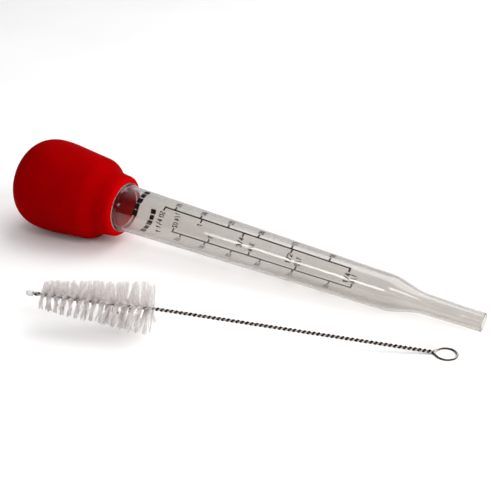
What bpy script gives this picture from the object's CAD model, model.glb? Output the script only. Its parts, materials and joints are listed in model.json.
# A clear graduated kitchen baster with a red rubber bulb, and its twisted-wire cleaning brush.
# Sizes are in millimetres until a mesh or a light is made; the scene itself is in metres.

import json
from math import acos, asin, ceil, cos, degrees, pi, radians, sin, tan

import bpy
import numpy as np
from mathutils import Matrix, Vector


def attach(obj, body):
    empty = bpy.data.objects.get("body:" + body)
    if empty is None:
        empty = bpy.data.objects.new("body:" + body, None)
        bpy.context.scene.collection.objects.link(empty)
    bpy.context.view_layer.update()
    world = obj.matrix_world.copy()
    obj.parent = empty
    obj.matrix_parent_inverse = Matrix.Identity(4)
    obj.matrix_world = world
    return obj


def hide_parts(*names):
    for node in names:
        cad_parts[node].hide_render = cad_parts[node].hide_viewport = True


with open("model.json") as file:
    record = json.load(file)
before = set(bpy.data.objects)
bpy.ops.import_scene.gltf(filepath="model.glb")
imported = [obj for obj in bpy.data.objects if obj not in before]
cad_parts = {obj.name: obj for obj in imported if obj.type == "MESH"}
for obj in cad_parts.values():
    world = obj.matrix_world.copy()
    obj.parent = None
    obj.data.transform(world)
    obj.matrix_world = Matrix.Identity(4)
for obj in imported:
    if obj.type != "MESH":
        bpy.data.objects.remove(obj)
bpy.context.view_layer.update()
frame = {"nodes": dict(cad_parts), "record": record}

MM = 0.001

# Tube outline, as station along the baster (0 at the bulb's mouth) and radius
WALL = 1.3
BARREL_RADIUS = 12.47
BARREL_END_RADIUS = 9.15
BARREL_END = 154.0
NOZZLE_START_RADIUS = 5.28
NOZZLE_START = 167.8
TIP_RADIUS = 4.72
TIP_LAND_START = 190.0
TIP_END = 200.0
TIP_MOUNT_STATION = 195.0
SHOULDER_FILLET = 25.0
SPIGOT_RADIUS = 12.2
SPIGOT_END = -22.0
FLANGE_RADIUS = 13.5
FLANGE_BACK = -1.15
FLANGE_LAND = 0.9
FLARE_END = 2.2
TUBE_SIDES = 160

# Bulb outline
SOCKET_RADIUS = 12.25
MOUTH_FACE = -1.2
NECK_RADIUS = 16.5
NECK_END = (17.6, -10.8)
SHOULDER_TOP = (22.34, -16.04)
BELLY_START = (24.2, -34.0)
BELLY_RADIUS = 25.1
BELLY_STATION = -46.0
BULB_END = -65.5
DOME_FULLNESS = 0.69
RUBBER_WALL = 2.6
SOCKET_DEPTH = -22.8
CAVITY_SHOULDER = (20.4, -26.5)
BULB_SIDES = 192
CLEAN_RUBBER_END = 13.0
SKIN_START = 17.5

# Brush
WIRE_RADIUS = 0.5
STEM_PITCH = 4.45
STEM_HELIX_RADIUS = 0.52
HEAD_PITCH = 7.3
HEAD_HELIX_RADIUS = 0.6
STEM_LENGTH = 130.0
HEAD_LENGTH = 54.4
BARE_TIP_LENGTH = 3.0
WIRE_IN_BEAD = 1.2
BRUSH_HEADING = 200.15
HEAD_RISE = 3.85
ROOT_HEIGHT = 1.1
LOOP_RADIUS = 5.0
LOOP_CENTRE_OFFSET = 6.2
LOOP_LEG_ANGLE = 128.0
BRISTLE_WIDE_RADIUS = 13.8
BRISTLE_TIP_RADIUS = 7.5
WIRE_SIDES = 14
STRAND_POINTS = 640
BEND_LENGTH = 2.0
RUB_START = 0.90
RUB_END = 1.0
LOOP_POINTS = 72
LEG_POINTS = 14
BEAD_LENGTH = 4.4
BEAD_RADIUS = 1.5
BEAD_POCKET_RADIUS = 1.15
BEAD_POCKET_DEPTH = 1.6
BEAD_SIDES = 48
BEAD_RINGS = 28

# Studio, in metres: each lamp is place, target, width, height and radiance
FLOOR_HALF = 3.0
MIDDLE = (0.0, 0.0, 0.0)
LAMPS = {
    "overhead_box": ((0.30, 0.50, 1.0), MIDDLE, 1.2, 1.0, 2.5),
    "front_strip": ((-0.14, -0.70, 0.50), (0.03, 0.03, 0.01), 0.29, 0.18, 5.5),
    "shoulder_strip": ((0.28, -0.46, 0.73), (0.08, 0.03, 0.01), 0.30, 0.18, 5.5),
}
DIFFUSE_LAMPS = {"right_fill": ((1.15, -0.25, 0.66), MIDDLE, 0.9, 0.9, 4.8)}
FRONT_SKY = (0.09, 0.087, 0.084, 1)
FRONT_SKY_END = 0.36
BACK_SKY = (0.80, 0.80, 0.80, 1)
BACK_SKY_START = 0.72

# Bristles
BRISTLE_COUNT = 2300
BRISTLE_RADIUS = 0.08
BRISTLE_SEED = 11
WIDE_END_DENSITY = 0.8
UPPER_TURN_JITTER = 15.0
UNDER_TURN_JITTER = 4.0
CLUMP_SIZE = 10
SHORTEST_CLUMP = 0.84
SHORTEST_IN_CLUMP = 0.93
SPLAY_LENGTH = 14.0
SPLAY_FADE_END = 25.0
FIRST_STATION = 0.25
LAST_STATION_MARGIN = 0.3
STATION_JITTER = 0.12
BEAD_END_LEAN = 0.17
BEAD_END_LEAN_POWER = 6
UPPER_LEAN = 0.03
UPPER_LEAN_SPREAD = 0.11
UNDER_LEAN = 0.05
UNDER_LEAN_SPREAD = 0.06
SPLAYED_LEAN = 0.07
SPLAYED_LEAN_SPREAD = 0.09
LEAN_IN_CLUMP = 0.025
CLUMP_BEND = 0.9
BEND_IN_CLUMP = 0.3
BRISTLE_SEGMENTS = 3
BRISTLE_SIDES = 4
FLOOR_CLEARANCE = 1.5 * BRISTLE_RADIUS

# Camera, looking at a point near the middle of the footprint
CAMERA_AZIMUTH = 27.852
CAMERA_ELEVATION = 27.053
CAMERA_DISTANCE = 0.6065
CAMERA_TARGET = (0.00416, 0.04402, 0.01)
CAMERA_LENS = 84.1
SENSOR_WIDTH = 36.0


class Place:
    """A local frame in millimetres: x, y and z directions about an origin."""

    def __init__(self, origin, x_dir, z_dir):
        self.origin = np.array(origin, float)
        self.x = np.array(x_dir, float)
        self.z = np.array(z_dir, float)
        self.x /= np.linalg.norm(self.x)
        self.z /= np.linalg.norm(self.z)
        self.y = np.cross(self.z, self.x)

    def points(self, local):
        """Row-frame points, in millimetres, of local points."""
        local = np.asarray(local, float)
        return self.origin + local @ np.array([self.x, self.y, self.z])


def mount(name):
    """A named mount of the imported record."""
    return next(m for m in frame["record"]["mounts"] if m["name"] == name)


def baster_place():
    """The baster's frame: z along the tube from the bulb's mouth, x upwards."""
    tip = mount("nozzle_tip")
    axis = np.array(tip["axis"], float)
    axis /= np.linalg.norm(axis)
    mouth = np.array(tip["pos_m"]) / MM - axis * TIP_MOUNT_STATION
    upwards = np.array([0.0, 0.0, 1.0])
    upwards -= axis * (upwards @ axis)
    return Place(mouth, upwards, axis)


def brush_direction(rise):
    """Unit vector along the brush, away from its loop, at a slope above the bench."""
    heading = radians(BRUSH_HEADING)
    level = cos(radians(rise))
    return np.array([level * cos(heading), level * sin(heading), sin(radians(rise))])


def stem_rise():
    """Slope of the stem, from the loop on the bench up to the wide end of the bristles."""
    wide_height = BRISTLE_WIDE_RADIUS * cos(radians(HEAD_RISE))
    return degrees(asin((wide_height - ROOT_HEIGHT) / STEM_LENGTH))


def brush_lateral():
    """Level unit vector across the brush."""
    heading = radians(BRUSH_HEADING)
    return np.array([-sin(heading), cos(heading), 0.0])


def loop_centre():
    """Middle of the finger loop's ring, on the height of its wire."""
    return np.array(mount("hanging_loop")["pos_m"]) / MM


def stem_place():
    """Frame of the stem: z along it from the loop's root, x level."""
    root = loop_centre() + brush_direction(0) * LOOP_CENTRE_OFFSET
    root[2] = ROOT_HEIGHT
    return Place(root, brush_lateral(), brush_direction(stem_rise()))


def head_place():
    """Frame of the bristle head: z along it from the wide end, x level."""
    bend = stem_place().origin + brush_direction(stem_rise()) * STEM_LENGTH
    return Place(bend, brush_lateral(), brush_direction(HEAD_RISE))


def rounded(corners, steps=8):
    """An open outline with round corners, from (radius, station, fillet) corners."""
    points = [np.array(corners[0][:2], float)]
    for before, here, after in zip(corners, corners[1:], corners[2:]):
        corner = np.array(here[:2], float)
        back = np.array(before[:2], float) - corner
        ahead = np.array(after[:2], float) - corner
        back /= np.linalg.norm(back)
        ahead /= np.linalg.norm(ahead)
        half = acos(max(-1.0, min(1.0, float(back @ ahead)))) / 2
        if here[2] == 0 or half > radians(89.9):
            points.append(corner)
            continue
        bisector = (back + ahead) / np.linalg.norm(back + ahead)
        centre = corner + bisector * here[2] / sin(half)
        start = corner + back * here[2] / tan(half) - centre
        end = corner + ahead * here[2] / tan(half) - centre
        sweep = pi - 2 * half
        count = max(3, ceil(steps * sweep / (pi / 2)) + 2)
        for share in np.linspace(0, 1, count):
            blend = sin((1 - share) * sweep) * start + sin(share * sweep) * end
            points.append(centre + blend / sin(sweep))
    points.append(np.array(corners[-1][:2], float))
    return points


def bezier(a, b, c, d, count=18):
    """Points of a cubic Bezier curve, its ends included."""
    a, b, c, d = (np.array(p, float) for p in (a, b, c, d))
    t = np.linspace(0, 1, count)[:, None]
    return list((1 - t) ** 3 * a + 3 * (1 - t) ** 2 * t * b + 3 * (1 - t) * t**2 * c + t**3 * d)


def barrel_outer(station):
    """Outside radius of the tapered barrel."""
    return BARREL_RADIUS + (BARREL_END_RADIUS - BARREL_RADIUS) * station / BARREL_END


def tube_outline():
    """Closed outline of the tube's wall, outside first and then back along the bore.

    Each corner is a radius, a station and the rounding of that corner.
    """
    bore = BARREL_RADIUS - WALL
    flare = FLANGE_RADIUS - barrel_outer(FLARE_END)
    front = FLANGE_BACK + FLANGE_LAND
    outside = [
        ((bore + SPIGOT_RADIUS) / 2, SPIGOT_END, 0),
        (SPIGOT_RADIUS, SPIGOT_END, 0.2),
        (SPIGOT_RADIUS, FLANGE_BACK, 0.05),
        (FLANGE_RADIUS, FLANGE_BACK, 0.3),
        (FLANGE_RADIUS, front, 0.3),
        (FLANGE_RADIUS - 0.75 * flare, front + 0.9, 1.0),
        (barrel_outer(FLARE_END), FLARE_END, 2.0),
        (BARREL_END_RADIUS, BARREL_END, SHOULDER_FILLET),
        (NOZZLE_START_RADIUS, NOZZLE_START, SHOULDER_FILLET),
        (TIP_RADIUS, TIP_LAND_START, SHOULDER_FILLET),
        (TIP_RADIUS, TIP_END, 0.4),
    ]
    inside = [
        (TIP_RADIUS - WALL, TIP_END, 0.3),
        (TIP_RADIUS - WALL, TIP_LAND_START, SHOULDER_FILLET),
        (NOZZLE_START_RADIUS - WALL, NOZZLE_START, SHOULDER_FILLET),
        (BARREL_END_RADIUS - WALL, BARREL_END, SHOULDER_FILLET),
        (bore, 0, 20.0),
        (bore, SPIGOT_END, 0.2),
        ((bore + SPIGOT_RADIUS) / 2, SPIGOT_END, 0),
    ]
    return rounded(outside + inside, steps=12)[:-1]


def dome(radius, end):
    """Fuller-than-round end of the bulb, from its widest station to the axis."""
    reach = end - BELLY_STATION
    return bezier(
        (radius, BELLY_STATION),
        (radius, BELLY_STATION + DOME_FULLNESS * reach),
        (DOME_FULLNESS * radius, end),
        (0, end),
        count=40,
    )


def belly(start, radius):
    """Side of the bulb from the shoulder's straight run to its widest station."""
    slope = (BELLY_START[0] - SHOULDER_TOP[0]) / (BELLY_START[1] - SHOULDER_TOP[1])
    reach = 0.4 * (BELLY_STATION - start[1])
    return bezier(
        start,
        (start[0] + slope * reach, start[1] + reach),
        (radius, BELLY_STATION - reach),
        (radius, BELLY_STATION),
    )


def bulb_outline():
    """Outline of the rubber from the inside of the dome, out through the mouth, to its outside."""
    inside_start = (BELLY_START[0] - RUBBER_WALL, BELLY_START[1])
    inner_dome = dome(BELLY_RADIUS - RUBBER_WALL, BULB_END + RUBBER_WALL)[::-1]
    inner_belly = belly(inside_start, BELLY_RADIUS - RUBBER_WALL)[::-1]
    throat = rounded(
        [
            (*inside_start, 0),
            (*CAVITY_SHOULDER, 4.0),
            (SOCKET_RADIUS, SOCKET_DEPTH, 1.5),
            (SOCKET_RADIUS, MOUTH_FACE, 0.05),
            (NECK_RADIUS, MOUTH_FACE, 2.5),
            (*NECK_END, 9.0),
            (*SHOULDER_TOP, 9.0),
            (*BELLY_START, 0),
        ],
        steps=16,
    )
    outer_belly = belly(BELLY_START, BELLY_RADIUS)
    outer_dome = dome(BELLY_RADIUS, BULB_END)
    return inner_dome + inner_belly[1:] + throat[1:] + outer_belly[1:] + outer_dome[1:]


def mesh_object(name, vertices, faces):
    """A smooth-shaded mesh object from points in millimetres."""
    mesh = bpy.data.meshes.new(name)
    mesh.from_pydata([tuple(v) for v in np.asarray(vertices) * MM], [], faces)
    mesh.validate()
    mesh.polygons.foreach_set("use_smooth", [True] * len(mesh.polygons))
    mesh.update()
    thing = bpy.data.objects.new(name, mesh)
    bpy.context.scene.collection.objects.link(thing)
    return thing


def lathe(name, outline, sides, place, closed):
    """A surface of revolution about the place's z axis; an open outline ends on the axis."""
    rings = outline if closed else outline[1:-1]
    turn = np.linspace(0, 2 * pi, sides, endpoint=False)
    local = [(r * np.cos(turn), r * np.sin(turn), np.full(sides, s)) for r, s in rings]
    vertices = [np.stack(ring, axis=1) for ring in local]
    faces = []
    pairs = len(rings) if closed else len(rings) - 1
    for i in range(pairs):
        here = i * sides
        there = (i + 1) % len(rings) * sides
        for k in range(sides):
            n = (k + 1) % sides
            faces.append((here + k, here + n, there + n, there + k))
    if not closed:
        first = len(rings) * sides
        last = first + 1
        end = (len(rings) - 1) * sides
        vertices.append(np.array([[0, 0, outline[0][1]], [0, 0, outline[-1][1]]]))
        for k in range(sides):
            n = (k + 1) % sides
            faces.append((first, n, k))
            faces.append((last, end + k, end + n))
    thing = mesh_object(name, place.points(np.concatenate(vertices)), faces)
    outward(thing)
    return thing


def outward(thing):
    """Turns a closed mesh's faces so that they look out of its volume."""
    mesh = thing.data
    mesh.calc_loop_triangles()
    corners = np.array([t.vertices for t in mesh.loop_triangles])
    co = np.array([v.co for v in mesh.vertices])
    a, b, c = co[corners[:, 0]], co[corners[:, 1]], co[corners[:, 2]]
    if np.einsum("ij,ij->i", a, np.cross(b, c)).sum() < 0:
        mesh.flip_normals()


def swept(path, radius, sides):
    """Vertices and faces of a round closed rod along points in millimetres; radius may vary."""
    path = np.asarray(path, float)
    radius = np.broadcast_to(radius, len(path))
    ahead = np.gradient(path, axis=0)
    ahead /= np.linalg.norm(ahead, axis=1)[:, None]
    side = np.cross(ahead[0], (0.0, 0.0, 1.0))
    if np.linalg.norm(side) < 0.1:
        side = np.cross(ahead[0], (0.0, 1.0, 0.0))
    turn = np.linspace(0, 2 * pi, sides, endpoint=False)
    vertices = []
    for centre, forward, reach in zip(path, ahead, radius):
        side = side - forward * (side @ forward)
        side /= np.linalg.norm(side)
        other = np.cross(forward, side)
        ring = np.outer(np.cos(turn), side) + np.outer(np.sin(turn), other)
        vertices.append(centre + reach * ring)
    faces = []
    for i in range(len(path) - 1):
        here = i * sides
        for k in range(sides):
            n = (k + 1) % sides
            faces.append((here + k, here + n, here + sides + n, here + sides + k))
    faces.append(tuple(range(sides - 1, -1, -1)))
    faces.append(tuple((len(path) - 1) * sides + k for k in range(sides)))
    return np.concatenate(vertices), faces


def strand_angle(along):
    """Turn of the twisted pair, in degrees, this far from the loop's root."""
    stem_part = np.minimum(along, STEM_LENGTH)
    head_part = np.maximum(along - STEM_LENGTH, 0)
    return -360 * (stem_part / STEM_PITCH + head_part / HEAD_PITCH)


def head_share(along):
    """How far a station has passed from the stem's frame to the head's, from 0 to 1."""
    return np.clip((along - STEM_LENGTH) / BEND_LENGTH + 0.5, 0, 1)


def core_points(along, radius, angle):
    """Points at a radius and an angle round the brush's own line, which bends at the head."""
    along = np.asarray(along, float)
    angle = np.radians(angle)
    stem, head = stem_place(), head_place()
    across = np.stack([radius * np.cos(angle), radius * np.sin(angle)], axis=-1)
    on_stem = stem.points(np.column_stack([across, along]))
    on_head = head.points(np.column_stack([across, along - STEM_LENGTH]))
    share = head_share(along)[:, None]
    return on_stem * (1 - share) + on_head * share


def strand_stations():
    """Stations of a strand's points, from the loop's root to its end inside the bead."""
    end = STEM_LENGTH + HEAD_LENGTH + BARE_TIP_LENGTH + WIRE_IN_BEAD
    return np.linspace(0, end, STRAND_POINTS)


def strand_path(phase):
    """Centre line of one strand."""
    along = strand_stations()
    share = head_share(along)
    radius = STEM_HELIX_RADIUS + (HEAD_HELIX_RADIUS - STEM_HELIX_RADIUS) * share
    return core_points(along, radius, phase + strand_angle(along))


def loop_path():
    """Centre line of the finger loop, from one strand round the ring to the other."""
    first, second = strand_path(-90), strand_path(90)
    centre = loop_centre()
    outward_way = -brush_direction(0)
    side = brush_lateral()
    turn = np.radians(np.linspace(LOOP_LEG_ANGLE, -LOOP_LEG_ANGLE, LOOP_POINTS))
    around = np.outer(np.cos(turn), outward_way) + np.outer(np.sin(turn), side)
    ring = centre + LOOP_RADIUS * around
    into = leg(first[0], first[0] - first[1], ring[0], ring[1] - ring[0])
    out = leg(ring[-1], ring[-1] - ring[-2], second[0], second[1] - second[0])
    path = np.concatenate([into[:-1], ring, out[1:]])
    path[:, 2] = np.maximum(path[:, 2], WIRE_RADIUS)
    return path


def leg(start, start_way, end, end_way):
    """A smooth lead between two points with given directions."""
    reach = np.linalg.norm(end - start) / 3
    start_way = start_way / np.linalg.norm(start_way)
    end_way = end_way / np.linalg.norm(end_way)
    start_handle = start + start_way * reach
    end_handle = end - end_way * reach
    return np.array(bezier(start, start_handle, end_handle, end, count=LEG_POINTS))


def wire_piece(name, path, crest_of):
    """A piece of round wire whose points store how far they stand proud, in millimetres."""
    points, faces = swept(path, WIRE_RADIUS, WIRE_SIDES)
    thing = mesh_object(name, points, faces)
    crest = thing.data.attributes.new("crest", "FLOAT", "POINT")
    crest.data.foreach_set("value", crest_of(points))
    return thing


def strand(name, phase):
    """One strand of the pair; its points stand proud by their distance from the pair's middle."""
    along = strand_stations()
    middle = np.repeat(core_points(along, np.zeros(len(along)), 0), WIRE_SIDES, axis=0)
    path = strand_path(phase)
    return wire_piece(name, path, lambda points: np.linalg.norm(points - middle, axis=1))


def loop(name):
    """The finger loop; its points stand proud by their height above the bench."""
    return wire_piece(name, loop_path(), lambda points: points[:, 2])


def clump_habit(random, station, under):
    """What one clump's half shares: its slope along the brush, its sideways bend and its length."""
    fraction = np.clip(station / HEAD_LENGTH, 0, 1)
    leaning_back = BEAD_END_LEAN * fraction**BEAD_END_LEAN_POWER
    if under:
        splay = np.clip((SPLAY_FADE_END - station) / (SPLAY_FADE_END - SPLAY_LENGTH), 0, 1)
        middle = UNDER_LEAN + SPLAYED_LEAN * splay - leaning_back
        spread = UNDER_LEAN_SPREAD + SPLAYED_LEAN_SPREAD * splay
    else:
        middle = UPPER_LEAN - leaning_back
        spread = UPPER_LEAN_SPREAD
    lean = random.normal(middle, spread)
    return lean, random.normal(0, CLUMP_BEND), random.uniform(SHORTEST_CLUMP, 1)


def half_bristle(random, station, angle, limit, habit):
    """Points of one half of a filament, from between the strands to its trimmed end."""
    clump_lean, clump_bend, clump_reach = habit
    jitter = UNDER_TURN_JITTER if sin(angle) < 0 else UPPER_TURN_JITTER
    angle += random.normal(0, radians(jitter))
    lean = clump_lean + random.normal(0, LEAN_IN_CLUMP)
    bend = clump_bend + random.normal(0, BEND_IN_CLUMP)
    reach = limit * clump_reach * random.uniform(SHORTEST_IN_CLUMP, 1)
    points = []
    for step in np.linspace(0, 1, BRISTLE_SEGMENTS + 1)[1:]:
        out = step * reach
        curl = bend * step * step
        x = out * cos(angle) - curl * sin(angle)
        y = out * sin(angle) + curl * cos(angle)
        points.append((x, y, station + lean * out))
    return points


def bristle_stations():
    """Stations of the filaments, sparser at the wide end and denser towards the bead."""
    share = np.linspace(0, 1, BRISTLE_COUNT)
    growth = 1 - WIDE_END_DENSITY
    share = (np.sqrt(WIDE_END_DENSITY**2 + 4 * growth * share) - WIDE_END_DENSITY) / (2 * growth)
    return FIRST_STATION + (HEAD_LENGTH - FIRST_STATION - LAST_STATION_MARGIN) * share


def bristles():
    """Nylon filaments held between the strands, fanned into a twisted double sheet."""
    random = np.random.default_rng(BRISTLE_SEED)
    place = head_place()
    vertices, faces = [], []
    count = 0
    for index, station in enumerate(bristle_stations()):
        angle = radians(strand_angle(np.array([STEM_LENGTH + station]))[0])
        if index % CLUMP_SIZE == 0:
            first_habit = clump_habit(random, station, sin(angle) < 0)
            second_habit = clump_habit(random, station, sin(angle) > 0)
        station += random.normal(0, STATION_JITTER)
        share = np.clip(station / HEAD_LENGTH, 0, 1)
        limit = BRISTLE_WIDE_RADIUS + (BRISTLE_TIP_RADIUS - BRISTLE_WIDE_RADIUS) * share
        first = half_bristle(random, station, angle, limit, first_habit)
        second = half_bristle(random, station, angle + pi, limit, second_habit)
        path = place.points(first[::-1] + [(0, 0, station)] + second)
        path[:, 2] = np.maximum(path[:, 2], FLOOR_CLEARANCE)
        points, quads = swept(path, BRISTLE_RADIUS, BRISTLE_SIDES)
        vertices.append(points)
        faces += [tuple(i + count for i in face) for face in quads]
        count += len(points)
    return mesh_object("bristle_filaments", np.concatenate(vertices), faces)


def bead_outline():
    """Outline of the bead, from the bottom of its pocket out and round its egg-shaped skin."""
    half = BEAD_LENGTH / 2
    floor = BEAD_POCKET_DEPTH - half
    rim_turn = -acos(BEAD_POCKET_RADIUS / BEAD_RADIUS)
    rim = half * sin(rim_turn)
    corners = [(0, floor, 0), (BEAD_POCKET_RADIUS, floor, 0.1), (BEAD_POCKET_RADIUS, rim, 0.05)]
    for turn in np.linspace(rim_turn, pi / 2, BEAD_RINGS)[1:]:
        corners.append((BEAD_RADIUS * cos(turn), half * sin(turn), 0))
    return rounded(corners)


def bead(name):
    """The smooth bead over the cut ends of the wires."""
    place = head_place()
    middle = HEAD_LENGTH + BARE_TIP_LENGTH + BEAD_LENGTH / 2
    place.origin = place.origin + middle * place.z
    return lathe(name, bead_outline(), BEAD_SIDES, place, closed=False)


class Nodes:
    """A material's node tree, with short calls for what the materials here need."""

    def __init__(self, name):
        self.material = bpy.data.materials.new(name)
        self.material.use_nodes = True
        self.tree = self.material.node_tree
        self.shader = self.tree.nodes["Principled BSDF"]
        self.where = self.tree.nodes.new("ShaderNodeTexCoord").outputs["Object"]
        self.surface = self.shader.outputs["BSDF"]

    def set(self, **values):
        """Plain values on the shader's sockets, named with underscores for spaces."""
        for name, value in values.items():
            self.shader.inputs[name.replace("_", " ")].default_value = value

    def link(self, output, input_name):
        self.tree.links.new(output, self.shader.inputs[input_name])

    def noise(self, scale, detail=3.0, stretch=None):
        """Noise from 0 to 1 with this many cells a metre."""
        node = self.tree.nodes.new("ShaderNodeTexNoise")
        node.inputs["Scale"].default_value = scale
        node.inputs["Detail"].default_value = detail
        source = self.where
        if stretch is not None:
            mapping = self.tree.nodes.new("ShaderNodeMapping")
            mapping.inputs["Scale"].default_value = stretch
            self.tree.links.new(source, mapping.inputs["Vector"])
            source = mapping.outputs["Vector"]
        self.tree.links.new(source, node.inputs["Vector"])
        return node.outputs["Fac"]

    def spread(self, source, low, high, from_low=0.3, from_high=0.7):
        """The source's useful range mapped to another range."""
        node = self.tree.nodes.new("ShaderNodeMapRange")
        node.inputs["From Min"].default_value = from_low
        node.inputs["From Max"].default_value = from_high
        node.inputs["To Min"].default_value = low
        node.inputs["To Max"].default_value = high
        self.tree.links.new(source, node.inputs["Value"])
        return node.outputs["Result"]

    def colours(self, source, dark, light):
        """A colour between two, by the source."""
        node = self.tree.nodes.new("ShaderNodeValToRGB")
        node.color_ramp.elements[0].position = 0.3
        node.color_ramp.elements[0].color = (*dark, 1)
        node.color_ramp.elements[1].position = 0.7
        node.color_ramp.elements[1].color = (*light, 1)
        self.tree.links.new(source, node.inputs["Fac"])
        return node.outputs["Color"]

    def mixed(self, share, first, second):
        """A colour between two colours, by the share."""
        node = self.tree.nodes.new("ShaderNodeMix")
        node.data_type = "RGBA"
        colour_inputs = [socket for socket in node.inputs if socket.type == "RGBA"]
        self.tree.links.new(share, node.inputs["Factor"])
        self.tree.links.new(first, colour_inputs[0])
        self.tree.links.new(second, colour_inputs[1])
        return next(socket for socket in node.outputs if socket.type == "RGBA")

    def stored(self, name):
        """A number stored on the mesh's points."""
        node = self.tree.nodes.new("ShaderNodeAttribute")
        node.attribute_name = name
        return node.outputs["Fac"]

    def distance_from_axis(self, place):
        """Distance in metres from a place's z axis."""
        offset = self.tree.nodes.new("ShaderNodeVectorMath")
        offset.operation = "SUBTRACT"
        offset.inputs[1].default_value = place.origin * MM
        across = self.tree.nodes.new("ShaderNodeVectorMath")
        across.operation = "CROSS_PRODUCT"
        across.inputs[1].default_value = place.z
        length = self.tree.nodes.new("ShaderNodeVectorMath")
        length.operation = "LENGTH"
        self.tree.links.new(self.where, offset.inputs[0])
        self.tree.links.new(offset.outputs["Vector"], across.inputs[0])
        self.tree.links.new(across.outputs["Vector"], length.inputs[0])
        return length.outputs["Value"]

    def blend(self, share, shader):
        """Mixes another shader into the surface, by a number or an output."""
        mix = self.tree.nodes.new("ShaderNodeMixShader")
        if isinstance(share, float):
            mix.inputs["Fac"].default_value = share
        else:
            self.tree.links.new(share, mix.inputs["Fac"])
        self.tree.links.new(self.surface, mix.inputs[1])
        self.tree.links.new(shader.outputs["BSDF"], mix.inputs[2])
        self.surface = mix.outputs["Shader"]
        output = self.tree.nodes["Material Output"]
        self.tree.links.new(self.surface, output.inputs["Surface"])

    def let_through(self, colour, share):
        """A thin surface that passes this share of diffuse light in its colour."""
        translucent = self.tree.nodes.new("ShaderNodeBsdfTranslucent")
        self.tree.links.new(colour, translucent.inputs["Color"])
        self.blend(share, translucent)

    def let_lamps_through(self, colour):
        """Plastic that tints a lamp's light but doesn't stop it."""
        open_way = self.tree.nodes.new("ShaderNodeBsdfTransparent")
        open_way.inputs["Color"].default_value = colour
        path = self.tree.nodes.new("ShaderNodeLightPath")
        self.blend(path.outputs["Is Shadow Ray"], open_way)

    def absorb(self, colour, density):
        """Light lost inside the material, so that long ways through it look darker."""
        volume = self.tree.nodes.new("ShaderNodeVolumeAbsorption")
        volume.inputs["Color"].default_value = colour
        volume.inputs["Density"].default_value = density
        output = self.tree.nodes["Material Output"]
        self.tree.links.new(volume.outputs["Volume"], output.inputs["Volume"])

    def bump(self, source, height, before=None):
        """Relief of this height in metres, on top of another relief."""
        node = self.tree.nodes.new("ShaderNodeBump")
        node.inputs["Strength"].default_value = 1.0
        node.inputs["Distance"].default_value = height
        self.tree.links.new(source, node.inputs["Height"])
        if before is not None:
            self.tree.links.new(before, node.inputs["Normal"])
        return node.outputs["Normal"]


def red_rubber():
    """Matt red rubber: slow mottling, fine skin, moulding waves and a brighter clean socket."""
    m = Nodes("red_rubber")
    skin = m.colours(m.noise(scale=30, detail=3), (0.37, 0.0, 0.0008), (0.49, 0.0, 0.001))
    clean = m.colours(m.noise(scale=60, detail=2), (0.86, 0.0, 0.002), (0.94, 0.0, 0.003))
    from_axis = m.distance_from_axis(baster_place())
    in_socket = m.spread(from_axis, 1.0, 0.0, CLEAN_RUBBER_END * MM, SKIN_START * MM)
    tone = m.mixed(in_socket, skin, clean)
    m.link(tone, "Base Color")
    m.link(m.spread(m.noise(scale=900, detail=4), 0.46, 0.62), "Roughness")
    waves = m.bump(m.noise(scale=26, detail=1), 0.00008)
    m.link(m.bump(m.noise(scale=2600, detail=2), 0.000005, waves), "Normal")
    m.set(Specular_IOR_Level=0.004)
    m.let_through(tone, 0.40)
    return m.material


def clear_plastic():
    """Clear moulded plastic with a faint warm grey tint and slight flow marks."""
    m = Nodes("clear_plastic")
    tint = m.colours(m.noise(scale=35, detail=2), (0.745, 0.722, 0.70), (0.79, 0.77, 0.747))
    m.link(tint, "Base Color")
    m.link(m.spread(m.noise(scale=160, detail=3), 0.015, 0.05), "Roughness")
    m.link(m.bump(m.noise(scale=90, detail=1, stretch=(0.25, 1.0, 1.0)), 0.000015), "Normal")
    m.set(Transmission_Weight=1.0, IOR=1.49)
    m.let_lamps_through((0.93, 0.92, 0.915, 1))
    m.absorb((0.08, 0.05, 0.03, 1), 70.0)
    return m.material


def print_ink():
    """Black screen ink, slightly uneven."""
    m = Nodes("print_ink")
    tone = m.colours(m.noise(scale=1800, detail=3), (0.002, 0.002, 0.002), (0.008, 0.008, 0.008))
    m.link(tone, "Base Color")
    m.link(m.spread(m.noise(scale=1200, detail=2), 0.40, 0.62), "Roughness")
    m.link(m.bump(m.noise(scale=5000, detail=2), 0.000006), "Normal")
    m.set(Specular_IOR_Level=0.08)
    return m.material


def steel_wire():
    """Dark drawn steel wire, rubbed bright where the twisted strands stand proud."""
    m = Nodes("steel_wire")
    dark = m.colours(m.noise(scale=420, detail=4), (0.03, 0.02, 0.018), (0.09, 0.072, 0.065))
    bright = m.colours(m.noise(scale=700, detail=2), (0.55, 0.49, 0.46), (0.78, 0.72, 0.69))
    proud = m.spread(m.stored("crest"), 0.0, 1.0, RUB_START, RUB_END)
    m.link(m.mixed(proud, dark, bright), "Base Color")
    m.link(m.spread(m.noise(scale=700, detail=3), 0.24, 0.38), "Roughness")
    m.link(m.bump(m.noise(scale=3500, detail=2, stretch=(0.2, 1.0, 1.0)), 0.000008), "Normal")
    m.set(Metallic=1.0)
    return m.material


def nylon():
    """Whitish translucent nylon filament."""
    m = Nodes("nylon_bristle")
    tone = m.colours(m.noise(scale=600, detail=3), (0.74, 0.715, 0.705), (0.86, 0.84, 0.83))
    m.link(tone, "Base Color")
    m.link(m.spread(m.noise(scale=1500, detail=2), 0.30, 0.45), "Roughness")
    m.link(m.bump(m.noise(scale=6000, detail=1), 0.000004), "Normal")
    m.let_through(tone, 0.50)
    m.let_lamps_through((0.81, 0.795, 0.79, 1))
    return m.material


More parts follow.
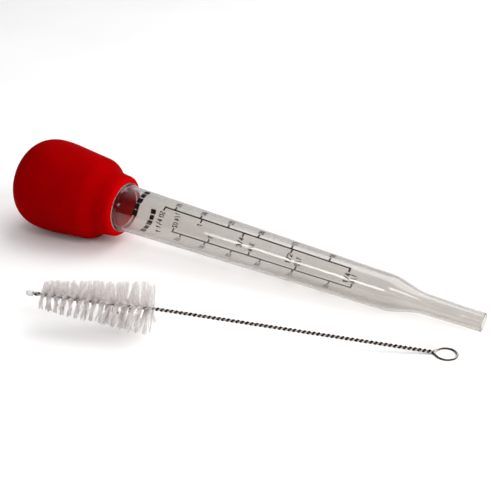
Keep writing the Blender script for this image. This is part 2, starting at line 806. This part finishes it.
def bead_plastic():
    """Milky white plastic of the tip bead."""
    m = Nodes("bead_plastic")
    tone = m.colours(m.noise(scale=700, detail=3), (0.78, 0.78, 0.78), (0.90, 0.90, 0.89))
    m.link(tone, "Base Color")
    m.link(m.spread(m.noise(scale=900, detail=2), 0.25, 0.40), "Roughness")
    m.link(m.bump(m.noise(scale=2500, detail=2), 0.00001), "Normal")
    m.set(Transmission_Weight=0.35, IOR=1.49)
    return m.material


def floor_paper():
    """Plain pale studio floor."""
    m = Nodes("studio_floor")
    tone = m.colours(m.noise(scale=12, detail=3), (0.90, 0.90, 0.90), (0.93, 0.93, 0.93))
    m.link(tone, "Base Color")
    m.link(m.spread(m.noise(scale=400, detail=3), 0.80, 0.95), "Roughness")
    m.set(Specular_IOR_Level=0.1)
    return m.material


def dress(thing, material):
    """Gives an object one material on all its faces."""
    thing.data.materials.clear()
    thing.data.materials.append(material)
    return thing


def stands_for(thing, node, body, material):
    """Lets a detailed piece stand for a CAD node, on its body and material slot."""
    dress(thing, material)
    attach(thing, body)
    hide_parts(node)


def make_baster():
    place = baster_place()
    tube = lathe("clear_tube", tube_outline(), TUBE_SIDES, place, closed=True)
    stands_for(tube, "tube", "barrel", clear_plastic())
    bulb = lathe("rubber_bulb", bulb_outline(), BULB_SIDES, place, closed=False)
    stands_for(bulb, "bulb", "squeeze_bulb", red_rubber())
    ink = print_ink()
    for node in ("scale_front", "scale_back"):
        dress(frame["nodes"][node], ink)


def make_brush():
    steel = steel_wire()
    for piece, node in (
        (strand("twisted_wire_a", -90), "wire_strand_a"),
        (strand("twisted_wire_b", 90), "wire_strand_b"),
        (loop("wire_loop"), "finger_loop"),
    ):
        stands_for(piece, node, "brush", steel)
    stands_for(bristles(), "bristle_head", "brush", nylon())
    stands_for(bead("smooth_bead"), "tip_bead", "brush", bead_plastic())


def make_floor():
    half = FLOOR_HALF
    corners = [(-half, -half, 0), (half, -half, 0), (half, half, 0), (-half, half, 0)]
    mesh = bpy.data.meshes.new("floor")
    mesh.from_pydata(corners, [], [(0, 1, 2, 3)])
    floor = bpy.data.objects.new("floor", mesh)
    bpy.context.scene.collection.objects.link(floor)
    dress(floor, floor_paper())


def area_light(name, place, target, width, height, radiance):
    """A soft rectangular light that gives this radiance and isn't seen by the camera."""
    light = bpy.data.lights.new(name, "AREA")
    light.shape = "RECTANGLE"
    light.size = width
    light.size_y = height
    light.energy = radiance * width * height * pi
    lamp = bpy.data.objects.new(name, light)
    lamp.location = place
    lamp.rotation_mode = "QUATERNION"
    lamp.rotation_quaternion = (Vector(target) - Vector(place)).to_track_quat("-Z", "Y")
    lamp.visible_camera = False
    bpy.context.scene.collection.objects.link(lamp)
    return lamp


def make_lamps():
    for name, settings in LAMPS.items():
        area_light(name, *settings)
    for name, settings in DIFFUSE_LAMPS.items():
        lamp = area_light(name, *settings)
        lamp.visible_glossy = False
        lamp.visible_transmission = False


def make_world():
    """Surroundings that are dark in front of the baster and light behind it."""
    world = bpy.data.worlds.new("studio")
    world.use_nodes = True
    tree = world.node_tree
    coordinates = tree.nodes.new("ShaderNodeTexCoord")
    split = tree.nodes.new("ShaderNodeSeparateXYZ")
    ramp = tree.nodes.new("ShaderNodeValToRGB")
    ramp.color_ramp.elements[0].position = FRONT_SKY_END
    ramp.color_ramp.elements[0].color = FRONT_SKY
    ramp.color_ramp.elements[1].position = BACK_SKY_START
    ramp.color_ramp.elements[1].color = BACK_SKY
    shift = tree.nodes.new("ShaderNodeMapRange")
    shift.inputs["From Min"].default_value = -1.0
    shift.inputs["From Max"].default_value = 1.0
    tree.links.new(coordinates.outputs["Generated"], split.inputs["Vector"])
    tree.links.new(split.outputs["Y"], shift.inputs["Value"])
    tree.links.new(shift.outputs["Result"], ramp.inputs["Fac"])
    background = tree.nodes["Background"]
    tree.links.new(ramp.outputs["Color"], background.inputs["Color"])
    background.inputs["Strength"].default_value = 1.0
    bpy.context.scene.world = world


def make_camera():
    azimuth, elevation = radians(CAMERA_AZIMUTH), radians(CAMERA_ELEVATION)
    back = Vector((sin(azimuth) * cos(elevation), -cos(azimuth) * cos(elevation), sin(elevation)))
    data = bpy.data.cameras.new("camera")
    data.lens = CAMERA_LENS
    data.sensor_width = SENSOR_WIDTH
    data.clip_start = 0.01
    camera = bpy.data.objects.new("camera", data)
    camera.location = Vector(CAMERA_TARGET) + back * CAMERA_DISTANCE
    camera.rotation_mode = "QUATERNION"
    camera.rotation_quaternion = (-back).to_track_quat("-Z", "Y")
    bpy.context.scene.collection.objects.link(camera)
    bpy.context.scene.camera = camera


make_camera()
make_baster()
make_brush()
make_floor()
make_lamps()
make_world()
bpy.context.scene.view_settings.view_transform = "Standard"
